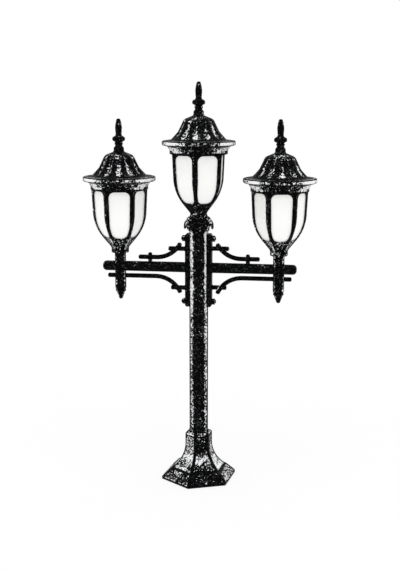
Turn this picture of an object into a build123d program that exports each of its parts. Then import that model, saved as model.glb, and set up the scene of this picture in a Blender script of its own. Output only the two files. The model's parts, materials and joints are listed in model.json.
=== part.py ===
"""Outdoor post light: a round pole with three six-sided lanterns, one on top and one on each arm.

Millimetres, +Z up. The origin is the middle of the ground flange's underside, the arms run along X,
and the viewer stands on the -Y side. Lantern pieces are drawn with the lantern's seat at height 0.
"""
import os
from math import radians, tan

from build123d import *

# Clearances
FIXED_FIT = 0.1
SLIDE_FIT = 0.5
PANE_FIT = 0.3
LAMP_CAP_FIT = 0.3

# Pole and ground flange
POLE_D = 60.0
POLE_WALL = 3.0
FLANGE_GAP = 9.5
FLANGE_T = 8.0
ANCHOR_CIRCLE_D = 140.0
ANCHOR_HOLE_D = 12.0
ANCHOR_COUNT = 4
GROMMET_HOLE_D = 34.0
GROMMET_BORE_D = 22.0
GROMMET_LIP = 4.0
GROMMET_LIP_T = 3.0

# Base cover, six-sided: half widths are measured across flats
BASE_H = 155.0
BASE_FOOT_HALF = 107.5
BASE_FOOT_EDGE_H = 9.0
BASE_FOOT_ROUND = 4.0
BASE_LEDGE_HALF = 81.0
BASE_LEDGE_H = 36.0
BASE_LEDGE_STEP = 3.0
BASE_NECK_WALL = 9.0
BASE_FLARE_H = 118.0
BASE_SHOULDER_ROUND = 7.0
BASE_WALL = 6.0
BASE_TURN = -8.0

# Crown under the centre lantern
CENTRE_SEAT_Z = 852.0
CROWN_PLATE_T = 9.0
CROWN_LIP_H = 5.0
CROWN_LIP_ROUND = 2.5
CROWN_SLEEVE_WALL = 4.0
CROWN_SLEEVE_LEN = 31.0
CROWN_SLEEVE_CHAMFER = 3.0
CROWN_RIM_R = 47.0
CROWN_RIM_DROP = 33.0
CROWN_RIM_ROUND = 2.5
CROWN_BREAK_RISE = 19.0
CROWN_BREAK_ROUND = 24.0
CROWN_TOP_R = 34.0
CROWN_PETAL_T = 6.0
CROWN_ARCH_R = 15.0
CROWN_ARCH_RISE = 12.0
PETAL_COUNT = 6

# Side brackets: the plate's top is set down from the centre lantern's seat
PLATE_DEPTH = 12.0
PLATE_W = 30.0
PLATE_DROP = 48.0
PLATE_H = 233.0
PLATE_CHAMFER = 4.0
STUD_D = 10.0
STUD_HOLE_D = 11.0
STUD_INSET = 15.5
STUD_PROUD = 2.5
NUT_ACROSS = 17.0
NUT_T = 8.4
WASHER_D = 20.0
WASHER_T = 2.0
WIRE_HOLE_D = 14.0

# Arms: the axis is set down from the plate's top, and the end past the lantern's axis
ARM_DROP = 108.5
ARM_ROOT_D = 33.0
ARM_TIP_D = 31.5
ARM_WALL = 3.0
ARM_END = 43.5
ARM_CAP_LEN = 13.0
ARM_CAP_ROUND = 12.0
ARM_CAP_PLUG = 10.0

# Scroll rods, their stubs and pegs: heights are measured from the arm's axis
ROD_D = 14.5
ROD_END_ROUND = 5.0
SCROLL_BEND_R = 86.0
UPPER_ROD_RISE = 30.4
UPPER_ROD_RUN = 58.5
UPPER_BEND_X = 135.0
UPPER_BEND_TURN = 63.0
LOWER_ROD_DROP = 30.9
LOWER_ROD_END = 41.0
LOWER_BEND_X = 138.0
LOWER_BEND_TURN = 67.0
UPPER_STUB_RISE = 60.5
UPPER_STUB_LEN = 54.0
LOWER_STUB_DROP = 64.5
LOWER_STUB_LEN = 46.0
STUB_LAP_Y = 8.0
PEG_RUN = 21.0
PEG_SETBACK = 0.6
PEG_PROUD = 8.0
PEG_SHANK_D = 6.0

# Lantern stems and drops: heights are measured from the arm's axis
LANTERN_X = 253.0
LEFT_TURN = -18.0
RIGHT_TURN = -21.0
SIDE_SEAT_RISE = 43.5
STEM_D = 35.5
STEM_SADDLE = 6.0
DROP_STEM_DROP = 74.5
DROP_STEM_CHAMFER = 3.5
DROP_TIP_LEN = 33.0
DROP_TIP_R = 5.0
DROP_TIP_ROUND = 4.5
DROP_BEAD_D = 33.5
DROP_BEAD_H = 9.0
DROP_BEAD_ROUND = 3.0
DROP_CONE_D = 27.5
DROP_SPIGOT_D = 12.0
DROP_SPIGOT_LEN = 12.0

# Lantern cage: half widths across flats of the six-sided tulip, its belly and cup rounded off
NECK_R = 27.8
NECK_H = 12.0
NECK_LIP_R = 25.8
NECK_LIP_H = 2.5
CUP_HALF = 23.7
CUP_H = 16.2
CUP_ROUND = 22.0
BELLY_HALF = 71.6
BELLY_RISE = 66.2
BELLY_ROUND = 148.0
SHOULDER_FLARE = 5.1
SHOULDER_RISE = 117.6
CAGE_WALL = 4.0
CUP_FLOOR_H = 14.0
RING_H = 8.0
RIB_W = 22.0
RIB_TAPER = 3.0
WINDOW_SILL = 33.8
WINDOW_HEAD = 2.0
WINDOW_TOP_ROUND = 17.0
WINDOW_BOTTOM_ROUND = 18.0
WINDOW_BELLY_ROUND = 110.0
PANE_T = 3.0
PANE_LAP = 3.0
PANE_FOOT = 7.0
PANE_HEAD = 8.5
PANE_ROUND = 4.0

# Lantern roof, from the skirt up: each rise and reach is measured from the point before it
SKIRT_REACH = 13.9
SKIRT_DROP = 8.0
SKIRT_WALL = 2.6
GASKET_T = 2.0
GASKET_W = 3.0
LEDGE_W = 7.0
COVE_FOOT_RISE = 2.0
COVE_REACH = 7.4
COVE_RISE = 12.5
COVE_ROUND = 8.0
BRIM_REACH = 16.5
BRIM_RISE = 4.0
BRIM_T = 13.0
BRIM_ROUND = 5.0
BELL_SETBACK = 28.5
BELL_FOOT_RISE = 4.0
BELL_KNEE_SETBACK = 21.9
BELL_KNEE_RISE = 24.0
BELL_KNEE_ROUND = 30.0
BELL_SHOULDER_SETBACK = 18.1
BELL_SHOULDER_RISE = 38.0
BELL_SHOULDER_ROUND = 20.0
BOSS_R = 17.5
BOSS_FOOT_RISE = 11.5
BOSS_RISE = 3.0
BOSS_ROUND = 4.0
BOSS_T = 8.0
ROOF_INSET = 9.5
FLUTE_COUNT = 12
FLUTE_R = 24.0
FLUTE_TOP_DEPTH = 1.6
FLUTE_FOOT_DEPTH = 4.2
FLUTE_BEND_R = 60.0
FLUTE_RUN_OUT = 14.0
FLUTE_END_GAP = 2.0

# Finial, from the roof's boss up: each rise is measured from the point before it
FINIAL_COLLAR_R = 16.2
FINIAL_COLLAR_H = 9.0
FINIAL_WAIST_R = 11.0
FINIAL_BEAD_R = 13.6
FINIAL_BEAD_RISE = 13.5
FINIAL_DISC_R = 20.0
FINIAL_DISC_RISE = 14.0
FINIAL_DISC_T = 9.0
FINIAL_NECK_R = 9.2
FINIAL_NECK_RISE = 11.5
FINIAL_SPIKE_R = 10.9
FINIAL_SPIKE_RISE = 24.5
FINIAL_POINT_R = 8.8
FINIAL_POINT_RISE = 14.0
FINIAL_NOSE_R = 5.5
FINIAL_NOSE_RISE = 13.0
FINIAL_COLLAR_ROUND = 1.0
FINIAL_DISC_ROUND = 4.2
FINIAL_NECK_ROUND = 6.0
FINIAL_SPIKE_ROUND = 20.0
FINIAL_POINT_ROUND = 10.0
FINIAL_NOSE_ROUND = 5.2

# Lantern inside
ROOF_BOLT_D = 8.0
ROOF_BOLT_GRIP = 28.0
ROOF_BOLT_HEAD_ACROSS = 13.0
ROOF_BOLT_HEAD_T = 5.3
HARP_TOP_RISE = 52.0
HARP_TOP_HALF = 16.0
HARP_HALF = 38.0
HARP_FOOT_HALF = 16.0
HARP_HIP_RISE = 46.0
HARP_SHOULDER_DROP = 22.0
HARP_T = 2.0
HARP_W = 14.0
HARP_ROUND = 8.0
PIPE_D = 10.0
PIPE_BORE_D = 7.0
PIPE_NUT_T = 6.0
PIPE_GRIP = 11.0
PIPE_PROUD = 3.0
SIDE_PIPE_REACH = 20.5
HOLDER_H = 46.0
HOLDER_FOOT_R = 15.0
HOLDER_R = 19.0
HOLDER_TAPER_H = 16.0
HOLDER_ROUND = 3.0
LAMP_CAP_R = 13.2
LAMP_CAP_DEPTH = 28.0
LAMP_CAP_PROUD = 4.0
LAMP_R = 30.0
LAMP_H = 105.0
LAMP_SHOULDER_H = 62.0
LAMP_CROWN_ROUND = 28.0
LAMP_NECK_ROUND = 14.0

# Sizes that follow from the driving dimensions
pole_r = POLE_D / 2
rod_r = ROD_D / 2
stem_r = STEM_D / 2
pipe_r = PIPE_D / 2
stud_r = STUD_D / 2
half_side = tan(radians(30))
base_neck_half = pole_r + BASE_NECK_WALL
flange_r = BASE_FOOT_HALF - BASE_WALL - FLANGE_GAP
crown_plate_z = CENTRE_SEAT_Z - CROWN_PLATE_T
crown_rim_z = CENTRE_SEAT_Z - CROWN_RIM_DROP
crown_break_z = crown_rim_z + CROWN_BREAK_RISE
sleeve_bottom_z = crown_plate_z - CROWN_SLEEVE_LEN
sleeve_r = pole_r + FIXED_FIT + CROWN_SLEEVE_WALL
plate_x = pole_r + PLATE_DEPTH
plate_top_z = CENTRE_SEAT_Z - PLATE_DROP
plate_bottom_z = plate_top_z - PLATE_H
stud_heights = (plate_bottom_z + STUD_INSET, plate_top_z - STUD_INSET)
arm_z = plate_top_z - ARM_DROP
arm_tip_x = LANTERN_X + ARM_END
arm_len = arm_tip_x - plate_x
upper_rod_z = arm_z + UPPER_ROD_RISE
lower_rod_z = arm_z - LOWER_ROD_DROP
peg_x = UPPER_BEND_X + PEG_RUN
side_seat_z = arm_z + SIDE_SEAT_RISE
side_pipe_z = arm_z - SIDE_PIPE_REACH
drop_stem_z = arm_z - DROP_STEM_DROP
belly_h = CUP_H + BELLY_RISE
shoulder_h = belly_h + SHOULDER_RISE
shoulder_half = BELLY_HALF + SHOULDER_FLARE
window_bottom_h = CUP_H + WINDOW_SILL
window_top_h = shoulder_h - WINDOW_HEAD
ring_top_h = shoulder_h + RING_H
roof_ledge_h = ring_top_h + GASKET_T
skirt_r = shoulder_half + SKIRT_REACH
skirt_bottom_h = roof_ledge_h - SKIRT_DROP
skirt_bore_r = skirt_r - SKIRT_WALL
ring_r = skirt_bore_r - SLIDE_FIT
cove_foot_h = roof_ledge_h + COVE_FOOT_RISE
cove_r = skirt_r + COVE_REACH
cove_h = cove_foot_h + COVE_RISE
brim_r = cove_r + BRIM_REACH
brim_h = cove_h + BRIM_RISE
bell_r = brim_r - BELL_SETBACK
bell_h = brim_h + BRIM_T + BELL_FOOT_RISE
knee_r = bell_r - BELL_KNEE_SETBACK
knee_h = bell_h + BELL_KNEE_RISE
crest_r = knee_r - BELL_SHOULDER_SETBACK
crest_h = knee_h + BELL_SHOULDER_RISE
boss_foot_h = crest_h + BOSS_FOOT_RISE
boss_h = boss_foot_h + BOSS_RISE
roof_bolt_top_h = boss_h + ROOF_BOLT_GRIP
harp_floor_h = CUP_FLOOR_H + HARP_T
harp_top_h = roof_ledge_h + HARP_TOP_RISE
holder_foot_h = harp_floor_h + PIPE_NUT_T
pipe_top_h = holder_foot_h + PIPE_GRIP
lamp_foot_h = holder_foot_h + HOLDER_H - LAMP_CAP_DEPTH
side_pipe_drop = side_seat_z - side_pipe_z
centre_pipe_drop = CROWN_PLATE_T + PIPE_NUT_T + PIPE_PROUD

# Where each lantern stands: distance along X, seat height and turn about its own axis
LANTERNS = {
    "centre": (0.0, CENTRE_SEAT_Z, 0.0),
    "left": (-LANTERN_X, side_seat_z, LEFT_TURN),
    "right": (LANTERN_X, side_seat_z, RIGHT_TURN),
}


def cylinder_z(radius, low, high, x=0.0):
    """An upright cylinder between two heights."""
    return Pos(x, 0, low) * Cylinder(radius, high - low, align=(Align.CENTER, Align.CENTER, Align.MIN))


def cylinder_x(radius, start, end, z, y=0.0):
    """A cylinder along X between two places."""
    upright = Cylinder(radius, end - start, align=(Align.CENTER, Align.CENTER, Align.MIN))
    return Pos(start, y, z) * Rot(0, 90, 0) * upright


def hexagon_prism(across, thickness):
    """A six-sided prism standing on the XY plane, for nuts and bolt heads."""
    return extrude(RegularPolygon(across / 2, 6, major_radius=False), thickness)


def rounded(points, rounds):
    """An open outline of (half width, height) points with a radius at each inner corner."""
    return FilletPolyline(*points, radius=rounds)


def face_to_axis(*outline):
    """The upright face between an open outline and the axis."""
    first, last = outline[0] @ 0, outline[-1] @ 1
    corners = [last]
    corners += [Vector(0, p.Y) for p in (last, first) if p.X > 0]
    corners.append(first)
    edges = [edge for curve in outline for edge in curve.edges()]
    return Plane.XZ * make_face(edges + Polyline(*corners).edges())


def turned(points, rounds):
    """A body turned about Z."""
    return revolve(face_to_axis(rounded(points, rounds)), Axis.Z)


def six_sided(*outline):
    """A body with six mitred sides that follow an outline, one corner towards -Y."""
    half = face_to_axis(*outline)
    reach = 2 * half.bounding_box().max.X
    slab = extrude(half + mirror(half, about=Plane.YZ), amount=reach, both=True)
    return slab & Rot(0, 0, 60) * slab & Rot(0, 0, 120) * slab


def ring_of(count, solid):
    """Copies of one solid, evenly spaced about Z."""
    return [Rot(0, 0, 360 * i / count) * solid for i in range(count)]


def group(solids):
    """Separate solids that share one node."""
    return Compound([solid.solid() for solid in solids])


# Ground flange, grommet and pole
def ground_flange():
    plate = cylinder_z(flange_r, 0, FLANGE_T) - cylinder_z(GROMMET_HOLE_D / 2, 0, FLANGE_T)
    anchor_hole = cylinder_z(ANCHOR_HOLE_D / 2, 0, FLANGE_T, x=ANCHOR_CIRCLE_D / 2)
    return plate - ring_of(ANCHOR_COUNT, anchor_hole)


def cable_grommet():
    top = FLANGE_T + GROMMET_LIP_T
    body = cylinder_z(GROMMET_HOLE_D / 2 - FIXED_FIT, 0, top)
    lip = cylinder_z(GROMMET_HOLE_D / 2 + GROMMET_LIP, FLANGE_T, top)
    return body + lip - cylinder_z(GROMMET_BORE_D / 2, 0, top)


def pole():
    tube = cylinder_z(pole_r, FLANGE_T, crown_plate_z)
    tube -= cylinder_z(pole_r - POLE_WALL, FLANGE_T, crown_plate_z)
    stud_holes = [cylinder_x(STUD_HOLE_D / 2, -POLE_D, POLE_D, z) for z in stud_heights]
    return tube - stud_holes - cylinder_x(WIRE_HOLE_D / 2, -POLE_D, POLE_D, arm_z)


# Base cover: an upright foot edge, a bevel up to a ledge, a hollow flare and a solid neck
def base_outline(inset):
    """The flare and the bevelled foot, from the neck down."""
    foot = BASE_FOOT_HALF - inset
    ledge = BASE_LEDGE_HALF - inset
    flare_foot = ledge - BASE_LEDGE_STEP
    flare = TangentArc((base_neck_half - inset, BASE_FLARE_H), (flare_foot, BASE_LEDGE_H), tangent=(0, -1))
    bevel = rounded(
        [(flare_foot, BASE_LEDGE_H), (ledge, BASE_LEDGE_H), (foot, BASE_FOOT_EDGE_H), (foot, 0)],
        [0, BASE_FOOT_ROUND],
    )
    return flare, bevel


def base_cover():
    flare, bevel = base_outline(0)
    outside = six_sided(Line((base_neck_half, BASE_H), flare @ 0), flare, bevel)
    outside = fillet(outside.faces().sort_by(Axis.Z)[-1].edges(), BASE_SHOULDER_ROUND)
    hollow = six_sided(*base_outline(BASE_WALL))
    return Rot(0, 0, BASE_TURN) * (outside - hollow - cylinder_z(pole_r + SLIDE_FIT, 0, BASE_H))


# Crown: a sleeve over the pole's end, a plate that carries the lantern, and drooping petals
def crown():
    top = CENTRE_SEAT_Z + CROWN_LIP_H
    dome = turned(
        [
            (0, crown_rim_z),
            (CROWN_RIM_R, crown_rim_z),
            (CROWN_RIM_R, crown_break_z),
            (CROWN_TOP_R, top),
            (0, top),
        ],
        [CROWN_RIM_ROUND, CROWN_BREAK_ROUND, CROWN_LIP_ROUND],
    )
    gap = cylinder_z(CROWN_RIM_R - CROWN_PETAL_T, crown_rim_z, crown_break_z)
    arch_z = crown_rim_z + CROWN_ARCH_RISE - CROWN_ARCH_R
    arch = Rot(0, 0, 180 / PETAL_COUNT) * cylinder_x(CROWN_ARCH_R, 0, 2 * CROWN_RIM_R, arch_z)
    sleeve = cylinder_z(sleeve_r, sleeve_bottom_z, crown_plate_z)
    sleeve = chamfer(sleeve.edges().sort_by(Axis.Z)[0], CROWN_SLEEVE_CHAMFER)
    body = dome - gap - ring_of(PETAL_COUNT, arch) + sleeve
    body -= cylinder_z(pole_r + FIXED_FIT, sleeve_bottom_z, crown_plate_z)
    body -= cylinder_z(NECK_R + FIXED_FIT, CENTRE_SEAT_Z, top)
    return body - cylinder_z(pipe_r + FIXED_FIT, crown_plate_z, top)


# Side bracket, drawn on the +X side
def bracket_plate():
    block = Box(plate_x, PLATE_W, PLATE_H, align=(Align.MIN, Align.CENTER, Align.MIN))
    plate = Pos(0, 0, plate_bottom_z) * block
    outer_ends = plate.faces().sort_by(Axis.X)[-1].edges().filter_by(Axis.Y)
    plate = chamfer(outer_ends, PLATE_CHAMFER)
    plate -= cylinder_z(pole_r + FIXED_FIT, plate_bottom_z, plate_top_z)
    stud_holes = [cylinder_x(STUD_HOLE_D / 2, 0, plate_x, z) for z in stud_heights]
    return plate - stud_holes - cylinder_x(WIRE_HOLE_D / 2, 0, plate_x, arm_z)


def bracket_studs():
    reach = plate_x + WASHER_T + NUT_T + STUD_PROUD
    return group([cylinder_x(stud_r, -reach, reach, z) for z in stud_heights])


def at_stud_ends(piece, x):
    """Copies of a fastener, drawn upright, at both ends of each stud."""
    outward = Pos(x, 0, 0) * Rot(0, 90, 0) * piece
    both = [outward, Rot(0, 0, 180) * outward]
    return group([Pos(0, 0, z) * end for z in stud_heights for end in both])


def bracket_washers():
    washer = cylinder_z(WASHER_D / 2, 0, WASHER_T) - cylinder_z(STUD_HOLE_D / 2, 0, WASHER_T)
    return at_stud_ends(washer, plate_x)


def bracket_nuts():
    nut = hexagon_prism(NUT_ACROSS, NUT_T) - cylinder_z(stud_r + FIXED_FIT, 0, NUT_T)
    return at_stud_ends(nut, plate_x + WASHER_T)


def arm_radius(x):
    """Outer radius of the tapered arm at a distance from the pole's axis."""
    return (ARM_ROOT_D + (ARM_TIP_D - ARM_ROOT_D) * (x - plate_x) / arm_len) / 2


def arm_cone(inset):
    """The arm's outside, or with its wall as the inset, the arm's bore."""
    root_r = ARM_ROOT_D / 2 - inset
    tip_r = ARM_TIP_D / 2 - inset
    upright = Cone(root_r, tip_r, arm_len, align=(Align.CENTER, Align.CENTER, Align.MIN))
    return Pos(plate_x, 0, arm_z) * Rot(0, 90, 0) * upright


def arm():
    tube = arm_cone(0) - arm_cone(ARM_WALL)
    pipe_hole = cylinder_z(pipe_r + FIXED_FIT, arm_z - ARM_ROOT_D, arm_z + ARM_ROOT_D, x=LANTERN_X)
    peg_hole = cylinder_z(PEG_SHANK_D / 2 + FIXED_FIT, arm_z, arm_z + ARM_ROOT_D, x=peg_x)
    return tube - pipe_hole - peg_hole


def arm_cap():
    tip_r = ARM_TIP_D / 2
    dome = turned([(tip_r, 0), (tip_r, ARM_CAP_LEN), (0, ARM_CAP_LEN)], [ARM_CAP_ROUND])
    plug = cylinder_z(tip_r - ARM_WALL - FIXED_FIT, -ARM_CAP_PLUG, 0)
    return Pos(arm_tip_x, 0, arm_z) * Rot(0, 90, 0) * (dome + plug)


def round_ends(rod):
    """Rounds the flat ends of a rod."""
    ends = rod.faces().filter_by(GeomType.PLANE)
    return fillet([edge for end in ends for edge in end.edges()], ROD_END_ROUND)


def scroll_rod(end_x, bend_x, z, turn):
    """A round rod from its outer end in to the bend, then along one arc, up for a positive turn."""
    path = Line((end_x, z), (bend_x, z)) + JernArc((bend_x, z), (-1, 0), SCROLL_BEND_R, -turn)
    section = Plane(origin=(end_x, 0, z), z_dir=(-1, 0, 0)) * Circle(rod_r)
    return round_ends(sweep(section, path=Plane.XZ * path))


def upper_scroll():
    rod = scroll_rod(UPPER_BEND_X + UPPER_ROD_RUN, UPPER_BEND_X, upper_rod_z, UPPER_BEND_TURN)
    return rod - cylinder_z(PEG_SHANK_D / 2 + FIXED_FIT, upper_rod_z - ROD_D, upper_rod_z + ROD_D, x=peg_x)


def lower_scroll():
    return scroll_rod(LANTERN_X + LOWER_ROD_END, LOWER_BEND_X, lower_rod_z, -LOWER_BEND_TURN)


def scroll_stub(length, z, bend_x, rod_z, turn):
    """A short rod from the plate, notched where the scroll laps over its side."""
    bar = cylinder_x(rod_r, plate_x, plate_x + length, z, y=STUB_LAP_Y)
    tip = bar.faces().filter_by(GeomType.PLANE).sort_by(Axis.X)[-1]
    bar = fillet(tip.edges(), ROD_END_ROUND)
    path = Plane.XZ * JernArc((bend_x, rod_z), (-1, 0), SCROLL_BEND_R, -turn)
    section = Plane(origin=(bend_x, 0, rod_z), z_dir=(-1, 0, 0)) * Circle(rod_r + FIXED_FIT)
    return bar - sweep(section, path=path)


def scroll_stubs():
    upper_z = arm_z + UPPER_STUB_RISE
    lower_z = arm_z - LOWER_STUB_DROP
    upper = scroll_stub(UPPER_STUB_LEN, upper_z, UPPER_BEND_X, upper_rod_z, UPPER_BEND_TURN)
    lower = scroll_stub(LOWER_STUB_LEN, lower_z, LOWER_BEND_X, lower_rod_z, -LOWER_BEND_TURN)
    return group([upper, lower])


def scroll_peg():
    """A peg from the arm up to the upper scroll: a foot, a shank through the rod and a round head."""
    peg_r = rod_r - PEG_SETBACK
    top = upper_rod_z + rod_r + PEG_PROUD
    body = cylinder_z(peg_r, arm_z, top, x=peg_x)
    body = fillet(body.edges().sort_by(Axis.Z)[-1], peg_r - PEG_SETBACK)
    body -= arm_cone(-FIXED_FIT)
    body -= cylinder_x(rod_r + FIXED_FIT, peg_x - ROD_D, peg_x + ROD_D, upper_rod_z)
    shank_z = arm_z + arm_radius(peg_x) - ARM_WALL
    return body + cylinder_z(PEG_SHANK_D / 2, shank_z, upper_rod_z + ROD_D, x=peg_x)


def lantern_stem():
    low = arm_z + arm_radius(LANTERN_X) - STEM_SADDLE
    stem = cylinder_z(stem_r, low, side_seat_z, x=LANTERN_X) - arm_cone(0)
    return stem - cylinder_z(pipe_r + FIXED_FIT, low, side_seat_z, x=LANTERN_X)


def drop_stem():
    high = arm_z - arm_radius(LANTERN_X) + STEM_SADDLE
    stem = cylinder_z(stem_r, drop_stem_z, high, x=LANTERN_X)
    stem = chamfer(stem.edges().sort_by(Axis.Z)[0], DROP_STEM_CHAMFER)
    stem -= arm_cone(0)
    stem -= cylinder_z(pipe_r + FIXED_FIT, side_pipe_z, high, x=LANTERN_X)
    spigot_top = drop_stem_z + DROP_SPIGOT_LEN
    stem -= cylinder_z(DROP_SPIGOT_D / 2 + FIXED_FIT, drop_stem_z, spigot_top, x=LANTERN_X)
    return stem - cylinder_x(rod_r + FIXED_FIT, LANTERN_X - STEM_D, LANTERN_X + STEM_D, lower_rod_z)


def drop_finial():
    bead_r = DROP_BEAD_D / 2
    bead_z = drop_stem_z - DROP_BEAD_H
    tip_z = drop_stem_z - DROP_TIP_LEN
    cone_r = DROP_CONE_D / 2
    drop = turned(
        [
            (0, tip_z),
            (DROP_TIP_R, tip_z),
            (cone_r, bead_z),
            (bead_r, bead_z + bead_r - cone_r),
            (bead_r, drop_stem_z),
            (0, drop_stem_z),
        ],
        [DROP_TIP_ROUND, 0, DROP_BEAD_ROUND, DROP_BEAD_ROUND],
    )
    spigot = cylinder_z(DROP_SPIGOT_D / 2, drop_stem_z, drop_stem_z + DROP_SPIGOT_LEN)
    return Pos(LANTERN_X, 0, 0) * (drop + spigot)


# Lantern cage: a tulip of six mitred sides with a window in each, a round neck and a round top ring
def side_half(height):
    """Half width of the unrounded tulip at a height, from its cup, belly and shoulder corners."""
    low = (CUP_HALF, CUP_H) if height < belly_h else (BELLY_HALF, belly_h)
    high = (BELLY_HALF, belly_h) if height < belly_h else (shoulder_half, shoulder_h)
    return low[0] + (high[0] - low[0]) * (height - low[1]) / (high[1] - low[1])


def tulip(inset, top):
    """The tulip's outside, drawn in by an inset, up to a height."""
    corners = [(CUP_HALF, 0), (CUP_HALF, CUP_H), (BELLY_HALF, belly_h), (side_half(top), top)]
    return six_sided(rounded([(half - inset, h) for half, h in corners], [CUP_ROUND, BELLY_ROUND]))


def window_prism(lap, low, high, low_round, high_round):
    """A window's outline, widened by a lap, carried outward through the +X side."""
    widths = [side_half(h) * half_side - RIB_W / 2 + lap for h in (low, belly_h, high)]
    widths[0] += RIB_TAPER
    right = list(zip(widths, (low, belly_h, high)))
    left = [(-w, h) for w, h in reversed(right)]
    rounds = [low_round, WINDOW_BELLY_ROUND, high_round, high_round, WINDOW_BELLY_ROUND, low_round]
    outline = FilletPolyline(*right, *left, radius=rounds, close=True)
    return extrude(Plane.YZ * make_face(outline.edges()), amount=2 * shoulder_half)


def cage():
    hollow = tulip(CAGE_WALL, ring_top_h) - cylinder_z(NECK_R, 0, CUP_FLOOR_H)
    body = tulip(0, shoulder_h) + cylinder_z(NECK_R, NECK_LIP_H, NECK_H) + cylinder_z(NECK_LIP_R, 0, NECK_H)
    body += cylinder_z(ring_r, shoulder_h, ring_top_h)
    window = window_prism(0, window_bottom_h, window_top_h, WINDOW_BOTTOM_ROUND, WINDOW_TOP_ROUND)
    body -= hollow
    return body - ring_of(6, window) - cylinder_z(pipe_r + FIXED_FIT, 0, CUP_FLOOR_H)


def panes():
    high = window_top_h + PANE_HEAD
    front = CAGE_WALL + PANE_FIT
    sheet = tulip(front, high) - tulip(front + PANE_T, high)
    blank = window_prism(PANE_LAP, window_bottom_h - PANE_FOOT, high, PANE_ROUND, PANE_ROUND)
    return group(ring_of(6, sheet & blank))


# Lantern roof: skirt, cove and rolled brim under a fluted bell, with a boss for the finial
def roof_outside():
    return turned(
        [
            (skirt_r, skirt_bottom_h),
            (skirt_r, cove_foot_h),
            (cove_r, cove_h),
            (brim_r, brim_h),
            (brim_r, brim_h + BRIM_T),
            (bell_r, bell_h),
            (knee_r, knee_h),
            (crest_r, crest_h),
            (BOSS_R, boss_foot_h),
            (BOSS_R, boss_h),
        ],
        [
            COVE_ROUND,
            COVE_ROUND,
            BRIM_ROUND,
            BRIM_ROUND,
            0,
            BELL_KNEE_ROUND,
            BELL_SHOULDER_ROUND,
            BOSS_ROUND,
        ],
    )


def roof_inside():
    ceiling = boss_h - BOSS_T
    lower = cylinder_z(skirt_bore_r, skirt_bottom_h, roof_ledge_h)
    bell = turned(
        [
            (skirt_bore_r - LEDGE_W, roof_ledge_h),
            (bell_r - ROOF_INSET, bell_h),
            (knee_r - ROOF_INSET, knee_h),
            (crest_r - ROOF_INSET, crest_h),
            (0, ceiling),
        ],
        [0, 0, 0],
    )
    return lower + bell


def flute():
    """One groove down the bell: a round bar laid along the slope, with a round lower end."""
    shoulder = Vector(crest_r, crest_h)
    knee = Vector(knee_r, knee_h)
    foot = Vector(bell_r, bell_h)
    upper = (knee - shoulder).normalized()
    lower = (foot - knee).normalized()
    upper_out = Vector(-upper.Y, upper.X)
    lower_out = Vector(-lower.Y, lower.X)
    foot_lift = FLUTE_R - FLUTE_FOOT_DEPTH
    end_reach = (FLUTE_R**2 - foot_lift**2) ** 0.5 + FLUTE_END_GAP
    start = shoulder - upper * FLUTE_RUN_OUT + upper_out * (FLUTE_R - FLUTE_TOP_DEPTH)
    knee_lift = FLUTE_R - (FLUTE_TOP_DEPTH + FLUTE_FOOT_DEPTH) / 2
    middle = knee + (upper_out + lower_out).normalized() * knee_lift
    end = foot - lower * end_reach + lower_out * foot_lift
    path = Plane.XZ * rounded([start, middle, end], [FLUTE_BEND_R])
    groove = sweep(path.edges()[0].location_at(0) * Circle(FLUTE_R), path=path)
    return groove + Pos(end.X, 0, end.Y) * Sphere(FLUTE_R)


def roof():
    body = roof_outside() - roof_inside() - ring_of(FLUTE_COUNT, flute())
    return body - cylinder_z(ROOF_BOLT_D / 2 + SLIDE_FIT, skirt_bottom_h, boss_h)


def roof_gasket():
    outer = cylinder_z(ring_r, ring_top_h, roof_ledge_h)
    return outer - cylinder_z(ring_r - GASKET_W, ring_top_h, roof_ledge_h)


def finial():
    """A turned roof nut: collar, bead, disc and spike, with a blind bore for the roof bolt."""
    bead_h = FINIAL_COLLAR_H + FINIAL_BEAD_RISE
    disc_h = bead_h + FINIAL_DISC_RISE
    disc_under_h = disc_h - FINIAL_DISC_T / 2
    neck_h = disc_h + FINIAL_NECK_RISE
    spike_h = neck_h + FINIAL_SPIKE_RISE
    point_h = spike_h + FINIAL_POINT_RISE
    nose_h = point_h + FINIAL_NOSE_RISE
    points = [
        (FINIAL_COLLAR_R, 0),
        (FINIAL_COLLAR_R, FINIAL_COLLAR_H),
        (FINIAL_WAIST_R, (FINIAL_COLLAR_H + bead_h) / 2),
        (FINIAL_BEAD_R, bead_h),
        (FINIAL_WAIST_R, (bead_h + disc_under_h) / 2),
        (FINIAL_DISC_R, disc_under_h),
        (FINIAL_DISC_R, disc_under_h + FINIAL_DISC_T),
        (FINIAL_NECK_R, neck_h),
        (FINIAL_SPIKE_R, spike_h),
        (FINIAL_POINT_R, point_h),
        (FINIAL_NOSE_R, nose_h),
        (0, nose_h),
    ]
    bead_round = FINIAL_BEAD_R - FINIAL_WAIST_R
    rounds = [
        FINIAL_COLLAR_ROUND,
        bead_round,
        bead_round / 2,
        bead_round,
        FINIAL_DISC_ROUND,
        FINIAL_DISC_ROUND,
        FINIAL_NECK_ROUND,
        FINIAL_SPIKE_ROUND,
        FINIAL_POINT_ROUND,
        FINIAL_NOSE_ROUND,
    ]
    body = Pos(0, 0, boss_h) * turned(points, rounds)
    return body - cylinder_z(ROOF_BOLT_D / 2 + FIXED_FIT, boss_h, roof_bolt_top_h + FIXED_FIT)


# Lantern inside
def roof_bolt():
    head_top = harp_top_h - HARP_T
    head = hexagon_prism(ROOF_BOLT_HEAD_ACROSS, ROOF_BOLT_HEAD_T)
    shank = cylinder_z(ROOF_BOLT_D / 2, head_top, roof_bolt_top_h)
    return Pos(0, 0, head_top - ROOF_BOLT_HEAD_T) * head + shank


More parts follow.
